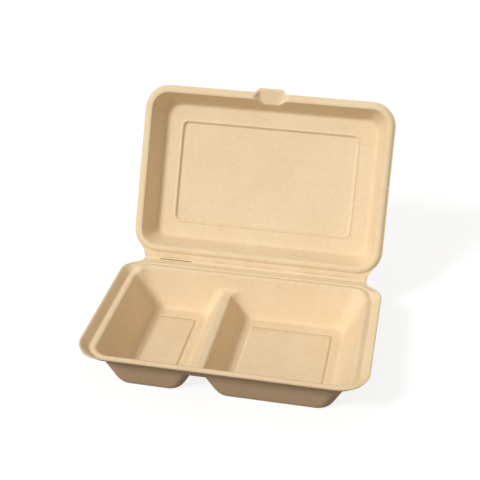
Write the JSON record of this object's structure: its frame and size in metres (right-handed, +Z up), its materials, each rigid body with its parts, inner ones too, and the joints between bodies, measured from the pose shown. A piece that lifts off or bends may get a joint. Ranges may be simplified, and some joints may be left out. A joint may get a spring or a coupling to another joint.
{
  "type": "takeaway food box",
  "caption": "two-compartment moulded pulp food box with a divider, a lipped rim and a lid on a folded strip",
  "frame": {"origin": "middle of the underside of the bounding box, on the plane of the feet, with the lid standing open", "axes": "+Z up, -Y the front of the tray, +X to the right when seen from the front; the lid's crease runs along X at the back"},
  "size_m": [0.24, 0.247, 0.1875],
  "materials": {
    "pulp": "matt pale tan moulded fibre with fine flecks"
  },
  "bodies": {
    "tray": {"tray": "pulp"},
    "lid": {"lid": "pulp"}
  },
  "joints": [
    {"name": "lid_hinge", "type": "hinge", "parent": "tray", "child": "lid", "pos_m": [0, 0.04351, 0.0373], "axis": [-1, 0, 0], "range_deg": [-115.4, 64.6]}
  ]
}
